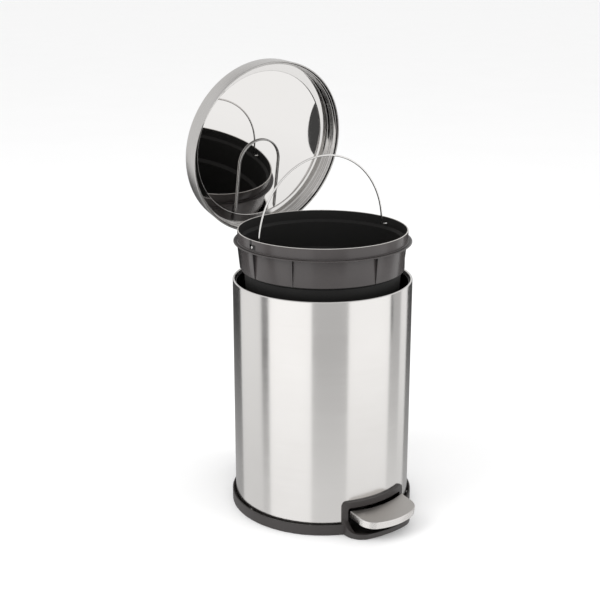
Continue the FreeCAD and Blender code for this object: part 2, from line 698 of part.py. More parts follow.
# ---- hinge bracket, pin and clips ----
def make_bracket():
    plate = ring(OUT_R + PLATE_T, OUT_R, BRACKET_LOW, BRACKET_TOP)
    span = EAR_IN + EAR_T
    plate = plate.common(box(-span, span, 0, HINGE_Y, BRACKET_LOW, BRACKET_TOP))
    parts = [plate]
    for x0 in (-span, EAR_IN):
        parts.append(
            side_plate(
                x0,
                x0 + EAR_T,
                (SHELL_R - 5, BRACKET_LOW + 10),
                (SHELL_R - 5, BRACKET_TOP),
                (HINGE_Y - EAR_R * 0.58, HINGE_Z + EAR_R * 0.81),
                (HINGE_Y + EAR_R * 0.81, HINGE_Z - EAR_R * 0.58),
            )
        )
        parts.append(rod_x(EAR_R, x0, x0 + EAR_T, HINGE_Y, HINGE_Z))
    body = joined(parts).cut(rod_z(OUT_R, 0, 0, BRACKET_LOW - 5, HINGE_Z + 20))
    body = body.cut(rod_x(HINGE_PIN_R + PRESS, -span - 1, span + 1, HINGE_Y, HINGE_Z))
    for x, z in BRACKET_RIVETS:
        hole = Part.makeCylinder(RIVET_R + RUN, 20, V(0, SHELL_R - 10, 0), V(0, 1, 0))
        body = body.cut(at_wall(hole, x, z))
    return body.removeSplitter()


save("hinge_bracket", make_bracket())
bracket_rivet = wall_stud(RIVET_R, SHELL_R - 2, OUT_R + PLATE_T, 2.8, OUT_R + PLATE_T, 1.2)
save("bracket_rivets", group([at_wall(bracket_rivet, x, z) for x, z in BRACKET_RIVETS]))

PIN_END = EAR_IN + EAR_T + 3.0
hinge_pin = rod_x(HINGE_PIN_R, -PIN_END, PIN_END, HINGE_Y, HINGE_Z)
for x0 in (-PIN_END + 1.0, PIN_END - 2.0):
    groove = rod_x(HINGE_PIN_R + 1, x0, x0 + 1.0, HINGE_Y, HINGE_Z)
    groove = groove.cut(rod_x(HINGE_PIN_R - 0.6, x0, x0 + 1.0, HINGE_Y, HINGE_Z))
    hinge_pin = hinge_pin.cut(groove)
save("hinge_pin", hinge_pin)
clips = []
for x0 in (-PIN_END + 1.05, PIN_END - 1.95):
    clip = rod_x(5.5, x0, x0 + 0.9, HINGE_Y, HINGE_Z)
    clip = clip.cut(rod_x(HINGE_PIN_R - 0.58, x0 - 1, x0 + 2, HINGE_Y, HINGE_Z))
    clip = clip.cut(box(x0 - 1, x0 + 2, HINGE_Y - 2.4, HINGE_Y + 2.4, HINGE_Z, HINGE_Z + 9))
    clips.append(clip)
save("hinge_clips", group(clips))


# ---- lid, drawn closed and then opened ----
def lid_point(r, depth):
    """Radius and height of a point that lies this deep behind the lid's free edge."""
    return (r, LID_Z + depth)


def make_lid_shell():
    corner = LID_CORNER
    bend = corner * (1 - math.sqrt(0.5))
    inner = corner - LID_WALL
    inner_bend = inner * (1 - math.sqrt(0.5))
    top_in = LID_TOP_R - LID_WALL
    deep_in = LID_DEPTH - LID_WALL
    body = spun(
        lid_point(LID_R, LID_EDGE),
        lid_point(LID_TOP_R, LID_DEPTH - corner),
        (
            lid_point(LID_TOP_R - bend, LID_DEPTH - bend),
            lid_point(LID_TOP_R - corner, LID_DEPTH),
        ),
        lid_point(0, LID_DEPTH),
        lid_point(0, deep_in),
        lid_point(top_in - inner, deep_in),
        (
            lid_point(top_in - inner_bend, deep_in - inner_bend),
            lid_point(top_in, deep_in - inner),
        ),
        lid_point(LID_R - LID_WALL - 0.2, 3.4),
        (lid_point(LID_R - 2.4, 1.6), lid_point(LID_R - 1.2, 0)),
        (lid_point(LID_R - 0.35, 0.35), lid_point(LID_R, LID_EDGE)),
    )
    for x, z in LID_RIVETS:
        body = body.cut(lid_hole(x, z))
    return body


def make_inner_ring():
    """Pressed liner: a beaded upright wall and a flat step that frames the mirror."""
    bead = BEAD_R
    low, high = BEADS
    step = MIRROR_DEPTH - 1.3
    body = spun(
        lid_point(LINER_R + 3.0, 4.6),
        lid_point(LINER_R + 2.0, step + 0.8),
        lid_point(LINER_R - 1.0, step + 0.8),
        lid_point(RING_IN, MIRROR_DEPTH - 0.1),
        (lid_point(RING_IN - 0.7, MIRROR_DEPTH - 0.9), lid_point(RING_IN, MIRROR_DEPTH - 1.6)),
        lid_point(LINER_R - 1.4, step),
        lid_point(LINER_R - 0.2, step - 1.5),
        lid_point(LINER_R, high + bead),
        (lid_point(LINER_R - bead, high), lid_point(LINER_R, high - bead)),
        lid_point(LINER_R + 0.2, low + bead),
        (lid_point(LINER_R + 0.2 - bead, low), lid_point(LINER_R + 0.2, low - bead)),
        lid_point(LINER_R + 1.2, 5.2),
        (lid_point(LINER_R + 1.9, 4.0), lid_point(LINER_R + 3.0, 4.6)),
    )
    for x, z in LID_RIVETS:
        body = body.cut(lid_hole(x, z))
    return body


def lid_hole(x, z):
    return Part.makeCylinder(LID_RIVET_R + PRESS, 20, V(x, LID_R - 12, z), V(0, 1, 0))


def foot_slot(x, y):
    """Room for a foot of the loop, and for the start of its bend."""
    r = LOOP_WIRE + 0.1
    z0 = LID_Z + MIRROR_DEPTH - 1
    z1 = LID_Z + LID_DEPTH
    room = rod_z(r, x, y, z0, z1).fuse(rod_z(r, x, y - LOOP_BEND, z0, z1))
    return room.fuse(box(x - r, x + r, y - LOOP_BEND, y, z0, z1))


mirror = rod_z(MIRROR_R, 0, 0, LID_Z + MIRROR_DEPTH, LID_Z + MIRROR_DEPTH + MIRROR_T)
for x, y in LOOP_FEET:
    mirror = mirror.cut(foot_slot(x, y))
save("lid_shell", opened(make_lid_shell()))
save("lid_inner_ring", opened(make_inner_ring()))
save("lid_mirror", opened(mirror))


def bent_wire(radius, points):
    """A round wire along straight runs and arcs, built as one pipe. An arc is a pair."""
    edges = []
    here = points[0]
    for step in points[1:]:
        if isinstance(step, tuple):
            edges.append(Part.Arc(here, step[0], step[1]).toShape())
            here = step[1]
        else:
            edges.append(Part.LineSegment(here, step).toShape())
            here = step
    spine = Part.Wire(edges)
    start = spine.Edges[0].tangentAt(spine.Edges[0].FirstParameter)
    circle = Part.Wire(Part.makeCircle(radius, points[0], start))
    return spine.makePipeShell([circle], True, False)


FOOT_TOP = LID_Z + MIRROR_DEPTH + 3.0
quarter = LOOP_BEND * (1 - math.sqrt(0.5))
loop = bent_wire(
    LOOP_WIRE,
    [
        V(-LOOP_HALF, LOOP_FOOT, FOOT_TOP),
        V(-LOOP_HALF, LOOP_FOOT, LOOP_Z + LOOP_BEND),
        (
            V(-LOOP_HALF, LOOP_FOOT - quarter, LOOP_Z + quarter),
            V(-LOOP_HALF, LOOP_FOOT - LOOP_BEND, LOOP_Z),
        ),
        V(-LOOP_HALF, LOOP_TOP + LOOP_HALF, LOOP_Z),
        (V(0, LOOP_TOP, LOOP_Z), V(LOOP_HALF, LOOP_TOP + LOOP_HALF, LOOP_Z)),
        V(LOOP_HALF, LOOP_FOOT - LOOP_BEND, LOOP_Z),
        (
            V(LOOP_HALF, LOOP_FOOT - quarter, LOOP_Z + quarter),
            V(LOOP_HALF, LOOP_FOOT, LOOP_Z + LOOP_BEND),
        ),
        V(LOOP_HALF, LOOP_FOOT, FOOT_TOP),
    ],
)
save("lid_wire_loop", opened(loop))
anchors = []
for x, y in LOOP_FEET:
    z0 = LID_Z + MIRROR_DEPTH + MIRROR_T
    plate = box(x - 6, x + 6, y - 8, y + 4, z0, z0 + 2.2)
    anchors.append(plate.cut(foot_slot(x, y)))
save("loop_anchors", opened(group(anchors)))


# ---- lid knuckle on the back of the lid's skirt, and the crank on it ----
def make_knuckle():
    half = KNUCKLE_HALF
    plate = box(-half, half, LID_R - 17, LID_R + 2.5, LID_Z + 6, LID_Z + 26)
    cone_top = LID_DEPTH - LID_CORNER
    flare = LID_TAPER * LID_EDGE / (cone_top - LID_EDGE)
    cone = Part.makeCone(LID_R + FIT + flare, LID_TOP_R + FIT, cone_top, V(0, 0, LID_Z))
    parts = [plate]
    for x0 in (-half, half - 3.0):
        parts.append(
            side_plate(
                x0,
                x0 + 3.0,
                (LID_R - 6, LID_Z + 7),
                (LID_R - 6, LID_Z + 26),
                (HINGE_Y + 1.5, HINGE_Z + KNUCKLE_R - 0.2),
                (HINGE_Y - 1.5, HINGE_Z - KNUCKLE_R + 0.2),
            )
        )
    parts.append(rod_x(KNUCKLE_R, -EAR_IN + 0.4, EAR_IN - 0.4, HINGE_Y, HINGE_Z))
    body = joined(parts).cut(cone)
    body = body.cut(rod_x(HINGE_PIN_R + RUN, -EAR_IN, EAR_IN, HINGE_Y, HINGE_Z))
    for x, z in LID_RIVETS:
        body = body.cut(lid_hole(x, z))
    return body.removeSplitter()


def make_crank():
    angle = HALF_OPEN
    pin_y = HINGE_Y - CRANK_R * math.cos(angle)
    pin_z = HINGE_Z - CRANK_R * math.sin(angle)
    across = V(0, math.sin(angle), -math.cos(angle))
    parts = []
    for x0 in (-CHEEK_IN - CHEEK_T, CHEEK_IN):
        hub = V(0, HINGE_Y, HINGE_Z)
        end = V(0, pin_y, pin_z)
        corners = [
            hub + across * 8.5,
            end + across * 5.0,
            end - across * 5.0,
            hub - across * 8.5,
        ]
        points = [(p.y, p.z) for p in corners]
        cheek = side_plate(x0, x0 + CHEEK_T, *points)
        cheek = cheek.fuse(rod_x(8.5, x0, x0 + CHEEK_T, HINGE_Y, HINGE_Z))
        cheek = cheek.fuse(rod_x(5.0, x0, x0 + CHEEK_T, pin_y, pin_z))
        cheek = cheek.cut(rod_x(KNUCKLE_R + PRESS, -10, 10, HINGE_Y, HINGE_Z))
        parts.append(cheek)
    parts.append(rod_x(PIN_R, -CHEEK_IN - CHEEK_T - 1, CHEEK_IN + CHEEK_T + 1, pin_y, pin_z))
    return joined(parts)


save("lid_knuckle", opened(make_knuckle()))
save("crank", opened(make_crank()))


def lid_rivet(x, z):
    shank = Part.makeCylinder(LID_RIVET_R, 10.0, V(x, LID_R - 7.5, z), V(0, 1, 0))
    head = Part.makeCylinder(2.2, 1.0, V(x, LID_R + 2.5, z), V(0, 1, 0))
    return shank.fuse(head)


save("lid_rivets", opened(group([lid_rivet(x, z) for x, z in LID_RIVETS])))


# ---- bucket ----
def make_bucket():
    wall = BUCKET_WALL
    shoulder = BUCKET_TOP - SHOULDER_DROP
    floor_in = BUCKET_BOTTOM + wall
    corner = BOTTOM_CORNER
    bend = corner * (1 - math.sqrt(0.5))
    inner = corner - wall
    inner_bend = inner * (1 - math.sqrt(0.5))
    body = spun(
        (0, BUCKET_BOTTOM),
        (BOTTOM_R - corner, BUCKET_BOTTOM),
        (
            (BOTTOM_R - bend, BUCKET_BOTTOM + bend),
            (BOTTOM_R, BUCKET_BOTTOM + corner),
        ),
        (BODY_R, shoulder - 4.0),
        (NECK_R - 1.0, shoulder - 1.0),
        (NECK_R, shoulder + 1.0),
        (NECK_R, FLANGE_Z),
        (FLANGE_R, FLANGE_Z),
        (FLANGE_R, FLANGE_Z + FLANGE_T),
        (BAND_R, FLANGE_Z + FLANGE_T),
        (BAND_R, BUCKET_TOP - 1.0),
        ((BAND_R - wall / 2, BUCKET_TOP), (BAND_R - wall, BUCKET_TOP - 1.0)),
        (BAND_R - wall, FLANGE_Z + 2 * FLANGE_T),
        (NECK_R - wall, FLANGE_Z),
        (NECK_R - wall, shoulder),
        (BODY_R - wall, shoulder - 5.0),
        (BOTTOM_R - wall, floor_in + inner),
        (
            (BOTTOM_R - wall - inner_bend, floor_in + inner_bend),
            (BOTTOM_R - wall - inner, floor_in),
        ),
        (0, floor_in),
    )
    rib = outline(
        lambda r, z: V(r, -RIB_T / 2, z),
        (NECK_R - 1.0, FLANGE_Z + 1.0),
        (RIB_OUT, FLANGE_Z + 1.0),
        (RIB_OUT, FLANGE_Z - 3.0),
        (NECK_R + 1.2, shoulder + 3.0),
        (NECK_R - 1.0, shoulder - 1.0),
    ).extrude(V(0, RIB_T, 0))
    for angle in RIB_ANGLES:
        turned = rib.copy()
        turned.rotate(ORIGIN, Z_AXIS, angle)
        body = body.fuse(turned)
    body = body.cut(rod_x(PIVOT_HOLE, -FLANGE_R, FLANGE_R, 0, PIVOT_Z))
    for side in (-1, 1):
        x0, x1 = sorted((side * (BAND_R - 0.8), side * (BAND_R + 5)))
        body = body.cut(
            box(x0, x1, 3.2, 4.6, FLANGE_Z + FLANGE_T, BUCKET_TOP + 1)
        )
    return body.removeSplitter()


PIVOT_HOLE = BAIL_WIRE + RUN
save("bucket", make_bucket())

# ---- bail ----
leg_top = PIVOT_Z + BAIL_LEG
turn_in = BAIL_BEND
soft = turn_in * (1 - math.sqrt(0.5))
arch = bent_wire(
    BAIL_WIRE,
    [
        V(-BAND_R - 0.5, 0, PIVOT_Z),
        V(-BAIL_R - turn_in, 0, PIVOT_Z),
        (V(-BAIL_R - soft, 0, PIVOT_Z + soft), V(-BAIL_R, 0, PIVOT_Z + turn_in)),
        V(-BAIL_R, 0, leg_top),
        (V(0, 0, leg_top + BAIL_R), V(BAIL_R, 0, leg_top)),
        V(BAIL_R, 0, PIVOT_Z + turn_in),
        (V(BAIL_R + soft, 0, PIVOT_Z + soft), V(BAIL_R + turn_in, 0, PIVOT_Z)),
        V(BAND_R + 0.5, 0, PIVOT_Z),
    ],
)
bail = arch
for x0 in (-BAND_R - 1.5, BAND_R + 0.3):
    bail = bail.fuse(rod_x(2.0, x0, x0 + 1.2, 0, PIVOT_Z))
save("bail_wire", bail.removeSplitter())
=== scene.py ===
import json
import math

import bmesh
import bpy
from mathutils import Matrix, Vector


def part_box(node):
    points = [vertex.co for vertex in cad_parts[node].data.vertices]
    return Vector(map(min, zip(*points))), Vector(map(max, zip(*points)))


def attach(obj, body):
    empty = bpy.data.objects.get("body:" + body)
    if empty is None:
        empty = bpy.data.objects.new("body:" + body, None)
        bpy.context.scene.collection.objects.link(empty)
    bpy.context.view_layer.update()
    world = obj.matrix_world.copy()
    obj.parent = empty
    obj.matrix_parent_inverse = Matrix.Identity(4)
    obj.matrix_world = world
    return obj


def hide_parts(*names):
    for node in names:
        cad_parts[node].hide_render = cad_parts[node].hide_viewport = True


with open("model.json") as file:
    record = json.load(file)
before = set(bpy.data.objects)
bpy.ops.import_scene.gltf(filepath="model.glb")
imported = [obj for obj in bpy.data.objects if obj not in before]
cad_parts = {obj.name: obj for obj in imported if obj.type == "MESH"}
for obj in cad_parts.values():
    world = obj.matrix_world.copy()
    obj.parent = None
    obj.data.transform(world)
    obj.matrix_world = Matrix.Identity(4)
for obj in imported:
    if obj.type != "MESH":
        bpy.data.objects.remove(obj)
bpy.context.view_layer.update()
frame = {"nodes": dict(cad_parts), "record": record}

# Round steel pedal bin: brushed body, mirrored lid, lift-out bucket, pedal and push rod.
# Lengths are in metres, as in the frame. Places come from the frame's nodes and joints.
MM = 0.001
ROUND = 192                  # facets round a turned piece
TURN = 2 * math.pi
WELD = 0.001 * MM            # points closer than this are one point

# ---- body ----
SHEET = 0.8 * MM             # steel sheet of the body and the lid
BEAD = 1.8 * MM              # radius of the rolled rim
DOOR_MARGIN = 2.0 * MM       # the steel is cut back behind the pedal's frame
LINTEL = 10.0 * MM           # height of the frame's bar over the doorway
PASSAGE_HALF = 14.0 * MM     # the lever's way out at the back
PASSAGE_TOP = 57.0 * MM

# ---- lid; depths are measured from its edge towards its top ----
LID_GAP = 0.8 * MM           # lid's edge above the rim when it is shut
LID_LIP = 2.0 * MM
LID_TAPER = 2.6 * MM
LID_DEPTH = 33.0 * MM
LID_CORNER = 4.0 * MM
LID_HEM = 1.2 * MM           # radius of the rolled edge
HEM_TOP = 3.4 * MM
HEM_SLACK = 0.2 * MM
RING_INSET = 21.5 * MM
LINER_INSET = 6.0 * MM
LINER_FOOT = 4.6 * MM        # depth of the rolled foot
MIRROR_DEPTH = 26.7 * MM
STEP_RISE = 1.3 * MM         # the ring's step, in front of the mirror
STEP_BEND = 1.5 * MM
STEP_IN = 1.8 * MM
STEP_BACK = (2.0 * MM, -1.0 * MM)  # ends of the step's back, out from the liner's wall
RING_BEAD = 1.1 * MM
RING_BEADS = (8.8 * MM, 13.0 * MM, 17.2 * MM)
BEAD_STEP = 0.1 * MM         # each bead stands a little further out than the last
FOOT_OUT = 2.1 * MM          # the foot's bend, out from the liner's wall
FOOT_BEND = 0.9 * MM
NOSE_BEND = 0.75 * MM        # inner edge of the ring, over the mirror's edge
NOSE_GAP = 0.85 * MM

# ---- bucket ----
BUCKET_WALL = 2.0 * MM
FLANGE_T = 2.0 * MM
BAND_H = 17.7 * MM
BAND_INSET = 6.4 * MM        # rim band, in from the flange
BAND_FILLET = 0.6 * MM
NECK_INSET = 4.6 * MM
NECK_FILLET = 1.0 * MM
BODY_INSET = 6.0 * MM
BODY_TAPER = 14.0 * MM
SHOULDER_DROP = 63.0 * MM
SHOULDER_SLOPE = 4.0 * MM
BOTTOM_CORNER = 8.0 * MM
RIB_T = 1.6 * MM
RIB_REACH = 6.3 * MM
RIB_ROOT = 0.8 * MM          # how far a rib is rooted in the neck
RIB_FOOT = 0.28              # share of the reach left at a rib's foot
RIB_THINNING = 0.45          # share of the thickness lost at a rib's foot
RIB_SPREAD = 32.0            # degrees
KEEPER_HALF = 7.0 * MM       # black keeper round the bail's end
KEEPER_LOW = 3.8 * MM
KEEPER_ROOT = 0.6 * MM
KEEPER_PROUD = 0.25 * MM
SLOT_W = 4.6 * MM            # slot from the keeper up to the rim
SLOT_DROP = 0.4 * MM

# ---- heads of the fasteners on the back wall ----
SCREW_HEAD_R = 3.0 * MM
SCREW_HEAD_H = 1.6 * MM
SCREW_RECESS = 0.45          # depth of the cross, as a share of the head
RIVET_HEAD_R = 2.8 * MM
RIVET_HEAD_H = 1.2 * MM
HEAD_SEAT = 2.15 * MM        # where the heads stand, out from the body
HEAD_OUT = 2.5 * MM
HEAD_BLUNT = 0.6             # a lower power makes a head flatter on top
HEAD_SMOOTH = 50.0           # degrees; flatter edges than this are shaded smooth
CROSS_HALF = 0.16            # half width of the cross, as a share of the radius
CROSS_FROM = 0.72            # the cross is cut above this share of the dome

# ---- what the frame says ----
joints = {j["name"]: j for j in frame["record"]["behaviour"]["joints"]}
body_of = {
    node: body
    for body, nodes in frame["record"]["behaviour"]["bodies"].items()
    for node in nodes
}
slot_of = {p["node"]: p["material_slot"] for p in frame["record"]["subparts"]}
hinge = Vector(joints["lid_hinge"]["pos_m"])
lid_open = math.radians(joints["lid_hinge"]["range_deg"][0])
pivot = Vector(joints["bail_hinge"]["pos_m"])
shell_low, shell_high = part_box("shell")
bucket_low, bucket_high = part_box("bucket")
body_r = shell_high.x
rim_z = shell_high.z
lid_z = rim_z + LID_GAP
lid_r = body_r + LID_LIP


# ---- nodes ----
class Value:
    """An output of a node. Sums, differences, products and quotients add Math nodes."""

    def __init__(self, maker, socket):
        self.maker = maker
        self.socket = socket

    def __add__(self, other):
        return self.maker.math("ADD", self, other)

    def __sub__(self, other):
        return self.maker.math("SUBTRACT", self, other)

    def __rsub__(self, other):
        return self.maker.math("SUBTRACT", other, self)

    def __mul__(self, other):
        return self.maker.math("MULTIPLY", self, other)

    def __truediv__(self, other):
        return self.maker.math("DIVIDE", self, other)

    def __rtruediv__(self, other):
        return self.maker.math("DIVIDE", other, self)

    __radd__ = __add__
    __rmul__ = __mul__


class Made:
    """A node that has been made. Its outputs are read by name or by number."""

    def __init__(self, maker, node):
        self.maker = maker
        self.node = node

    def __getitem__(self, output):
        return Value(self.maker, self.node.outputs[output])


class Maker:
    """Puts a node tree together, one node at a time."""

    def __init__(self, tree):
        self.tree = tree

    def node(self, kind, settings=None, inputs=None):
        made = self.tree.nodes.new(kind)
        for name, setting in (settings or {}).items():
            setattr(made, name, setting)
        for name, given in (inputs or {}).items():
            if isinstance(given, Value):
                self.tree.links.new(given.socket, made.inputs[name])
            else:
                made.inputs[name].default_value = given
        return Made(self, made)

    def math(self, operation, *values):
        return self.node(
            "ShaderNodeMath", {"operation": operation}, dict(enumerate(values))
        )[0]

    def vector(self, operation, **inputs):
        """A Vector Math node: a and b are its vectors, Scale its number."""
        places = {"a": 0, "b": 1}
        given = {places.get(name, name): value for name, value in inputs.items()}
        return self.node("ShaderNodeVectorMath", {"operation": operation}, given)

    def join(self, x=0.0, y=0.0, z=0.0):
        return self.node("ShaderNodeCombineXYZ", None, {0: x, 1: y, 2: z})[0]

    def split(self, vector):
        parts = self.node("ShaderNodeSeparateXYZ", None, {0: vector})
        return parts[0], parts[1], parts[2]


class Finish(Maker):
    """A node material."""

    def __init__(self, tree):
        super().__init__(tree)
        self.tree.nodes.clear()

    def place(self, centre=(0, 0, 0), tilt=0.0, scale=(1, 1, 1)):
        """Object coordinates centred on a piece's own axis, then stretched."""
        here = self.node("ShaderNodeTexCoord")["Object"]
        centred = self.node(
            "ShaderNodeMapping", {"vector_type": "TEXTURE"},
            {"Vector": here, "Location": centre, "Rotation": (tilt, 0, 0)},
        )
        return self.node(
            "ShaderNodeMapping", {"vector_type": "POINT"},
            {"Vector": centred["Vector"], "Scale": scale},
        )["Vector"]

    def noise(self, where, scale, detail=2.0, roughness=0.5):
        return self.node(
            "ShaderNodeTexNoise", None,
            {"Vector": where, "Scale": scale, "Detail": detail, "Roughness": roughness},
        )["Fac"]

    def spread(self, value, low, high, start=0.35, end=0.65):
        """Maps start..end, by default the middle of a noise, to low..high."""
        return self.node(
            "ShaderNodeMapRange", None,
            {"Value": value, "From Min": start, "From Max": end, "To Min": low, "To Max": high},
        )["Result"]

    def facing(self):
        """How far the surface faces out from the bin's axis, how far up, and its height."""
        normal = self.node("ShaderNodeNewGeometry")["Normal"]
        here = self.node("ShaderNodeTexCoord")["Object"]
        away = self.vector("NORMALIZE", a=self.vector("MULTIPLY", a=here, b=(1, 1, 0))[0])[0]
        outward = self.vector("DOT_PRODUCT", a=normal, b=away)["Value"]
        return outward, self.split(normal)[2], self.split(here)[2]

    def mix(self, factor, first, second):
        """Mixes two colours. Their sockets share names with others, so numbers pick them."""
        return self.node(
            "ShaderNodeMix", {"data_type": "RGBA"}, {0: factor, 6: first, 7: second}
        )[2]

    def bump(self, height, strength, distance, edge=0.0):
        """A Bump node, over rounded edges where a radius is given."""
        inputs = {"Height": height, "Strength": strength, "Distance": distance}
        if edge:
            inputs["Normal"] = self.node("ShaderNodeBevel", None, {"Radius": edge})["Normal"]
        return self.node("ShaderNodeBump", None, inputs)["Normal"]

    def surface(self, **inputs):
        named = {name.replace("_", " "): given for name, given in inputs.items()}
        shader = self.node("ShaderNodeBsdfPrincipled", None, named)
        self.node("ShaderNodeOutputMaterial", None, {"Surface": shader["BSDF"]})


class Shape(Maker):
    """A Geometry Nodes tree, with named inputs."""

    def __init__(self, name, **inputs):
        super().__init__(bpy.data.node_groups.new(name, "GeometryNodeTree"))
        face = self.tree.interface
        face.new_socket("Geometry", in_out="INPUT", socket_type="NodeSocketGeometry")
        kinds = {int: "NodeSocketInt", float: "NodeSocketFloat"}
        self.given = {key.replace("_", " "): value for key, value in inputs.items()}
        for label, value in self.given.items():
            kind = kinds.get(type(value), "NodeSocketVector")
            if isinstance(value, bpy.types.Material):
                kind = "NodeSocketMaterial"
            face.new_socket(label, in_out="INPUT", socket_type=kind)
        face.new_socket("Geometry", in_out="OUTPUT", socket_type="NodeSocketGeometry")
        self.asked = self.node("NodeGroupInput")

    def position(self):
        return self.node("GeometryNodeInputPosition")[0]

    def moved(self, geometry, position):
        return self.node(
            "GeometryNodeSetPosition", None, {"Geometry": geometry, "Position": position}
        )[0]

    def copies(self, points, instance, rotation):
        return self.node(
            "GeometryNodeInstanceOnPoints", None,
            {"Points": points, "Instance": instance, "Rotation": rotation},
        )[0]

    def close(self, geometry):
        whole = self.node("GeometryNodeRealizeInstances", None, {"Geometry": geometry})
        painted = self.node(
            "GeometryNodeSetMaterial", None,
            {"Geometry": whole[0], "Material": self.asked["Material"]},
        )
        self.node("NodeGroupOutput", None, {0: painted[0]})

    def run(self, mesh, name):
        """Runs the tree on a mesh, and returns the result as a plain mesh object."""
        carrier = add_object(name + " start", mesh)
        modifier = carrier.modifiers.new("shape", "NODES")
        modifier.node_group = self.tree
        for item in self.tree.interface.items_tree:
            asked = item.item_type == "SOCKET" and item.in_out == "INPUT"
            if asked and item.name in self.given:
                modifier[item.identifier] = self.given[item.name]
        shaped = carrier.evaluated_get(bpy.context.evaluated_depsgraph_get())
        result = bpy.data.meshes.new_from_object(shaped)
        bpy.data.objects.remove(carrier)
        return add_object(name, result)


def add_object(name, data):
    thing = bpy.data.objects.new(name, data)
    bpy.context.scene.collection.objects.link(thing)
    return thing


# ---- materials ----
def new_finish(name):
    material = bpy.data.materials.new(name)
    material.use_nodes = True
    return material, Finish(material.node_tree)


def grey(level, warmth=0.0, yellow=1.0):
    """A grey with a warm tint: yellow 1 leans to cream, yellow 0 leans to rose."""
    return (level * (1 + warmth), level, level * (1 - warmth * yellow), 1.0)


def brushed(name, level, grain, centre=(0, 0, 0), tilt=0.0, rough=(0.2, 0.3)):
    """Sheet steel with grain lines. The grain scale is largest across the lines."""
    material, make = new_finish(name)
    finer = tuple(3.1 * scale for scale in grain)
    lines = make.noise(make.place(centre, tilt, grain), 1.0, detail=3.0, roughness=0.65)
    fine = make.noise(make.place(centre, tilt, finer), 1.0, detail=1.0)
    cloud = make.noise(make.place(centre, tilt), 14.0, detail=3.0)
    tone = make.spread(lines * 0.6 + cloud * 0.4, 0.0, 1.0)
    make.surface(
        Base_Color=make.mix(tone, grey(level * 0.965, 0.026), grey(level * 1.02, 0.022)),
        Metallic=1.0,
        Roughness=make.spread(lines, *rough) + make.spread(cloud, -0.01, 0.02),
        Normal=make.bump(lines + fine * 0.7, strength=0.07, distance=0.03 * MM),
    )
    return material


def polished(name, level, rough, smudge=0.04):
    """Bright metal with the faint smears of handling."""
    material, make = new_finish(name)
    smear = make.noise(make.place(scale=(1, 1, 2.2)), 9.0, detail=4.0, roughness=0.6)
    specks = make.noise(make.place(), 160.0)
    make.surface(
        Base_Color=make.mix(smear, grey(level * 0.985, 0.022), grey(level, 0.018)),
        Metallic=1.0,
        Roughness=make.spread(smear, rough, rough + smudge, start=0.45, end=0.75),
        Normal=make.bump(specks, strength=0.02, distance=0.02 * MM),
    )
    return material


def plated(name, level, warmth=0.0, rough=0.3):
    """Zinc or nickel plate with a slightly mottled surface."""
    material, make = new_finish(name)
    mottle = make.noise(make.place(), 60.0, detail=4.0, roughness=0.6)
    scratch = make.noise(make.place(scale=(40, 400, 400)), 1.0)
    make.surface(
        Base_Color=make.mix(mottle, grey(level * 0.85, warmth), grey(level * 1.08, warmth)),
        Metallic=1.0,
        Roughness=make.spread(mottle, rough - 0.06, rough + 0.1),
        Normal=make.bump(mottle + scratch, strength=0.12, distance=0.04 * MM, edge=0.3 * MM),
    )
    return material


def moulded(name, level, warmth, rough, edge=0.7 * MM, scuff=0.5):
    """Moulded plastic: fine texture, soft edges, pale scuffs where it gets touched."""
    material, make = new_finish(name)
    texture = make.noise(make.place(), 900.0)
    cloud = make.noise(make.place(), 18.0, detail=4.0, roughness=0.6)
    rub = make.noise(make.place(scale=(1.0, 1.0, 3.0)), 55.0, detail=5.0, roughness=0.7)
    marks = make.spread(rub * cloud, 0.0, scuff, start=0.34, end=0.5)
    pale = level * 1.9 + 0.01
    make.surface(
        Base_Color=make.mix(marks, grey(level, warmth, 0.2), grey(pale, warmth, 0.2)),
        Roughness=make.spread(cloud, rough - 0.05, rough + 0.07) + marks * 0.1,
        Normal=make.bump(texture, strength=0.14, distance=0.08 * MM, edge=edge),
    )
    return material


def bucket_with_painted_light(name, outer, inner, shoulder, rough):
    """Satin outside above the shoulder; painted shade makes it near black inside and below the
    shoulder, and a painted highlight lightens the top edge of the rim.
    """
    material, make = new_finish(name)
    outward, _, height = make.facing()
    # Painted shade: the inside and the body below the shoulder get a near black colour where
    # shade falls.
    above = make.spread(height, 0.0, 1.0, shoulder - 0.5 * MM, shoulder + 0.5 * MM)
    clear_of_painted_shade = make.spread(outward, 0.0, 1.0, start=-0.1, end=0.2) * above
    texture = make.noise(make.place(), 500.0)
    cloud = make.noise(make.place(), 18.0, detail=4.0, roughness=0.6)
    worn = make.spread(cloud, 0.0, 0.25, start=0.45, end=0.75)
    satin = make.mix(worn, grey(outer, 0.13, 0.1), grey(outer * 1.5, 0.13, 0.1))
    # Painted highlight: a pale line painted along the top edge of the rim.
    painted_lip_highlight = make.spread(height, 0.0, 0.7, bucket_high.z - 0.8 * MM, bucket_high.z - 0.2 * MM)
    plain = make.mix(clear_of_painted_shade, grey(inner, 0.08), satin)
    make.surface(
        Base_Color=make.mix(painted_lip_highlight, plain, grey(0.70, 0.04)),
        Roughness=make.spread(cloud, rough, rough + 0.08) + (1 - clear_of_painted_shade) * 0.45,
        Normal=make.bump(texture, strength=0.12, distance=0.06 * MM, edge=0.4 * MM),
    )
    return material


def pedal_with_painted_light(name, top, side):
    """Pressed steel, satin on top; its colour is painted darker on top as painted shade and
    brighter round its skirt as a painted highlight.
    """
    material, make = new_finish(name)
    _, upward, _ = make.facing()
    # Painted light: one steel, given a shaded colour on the top faces and a lit colour on the
    # skirt.
    flat = make.spread(upward, 0.0, 1.0, start=0.55, end=0.95)
    grain = make.noise(make.place(scale=(25, 700, 700)), 1.0)
    make.surface(
        Base_Color=make.mix(flat, grey(side, 0.03), grey(top, 0.045)),
        Metallic=1.0,
        Roughness=make.spread(grain, 0.25, 0.30) + flat * 0.08,
        Normal=make.bump(grain, strength=0.04, distance=0.02 * MM, edge=0.3 * MM),
    )
    return material


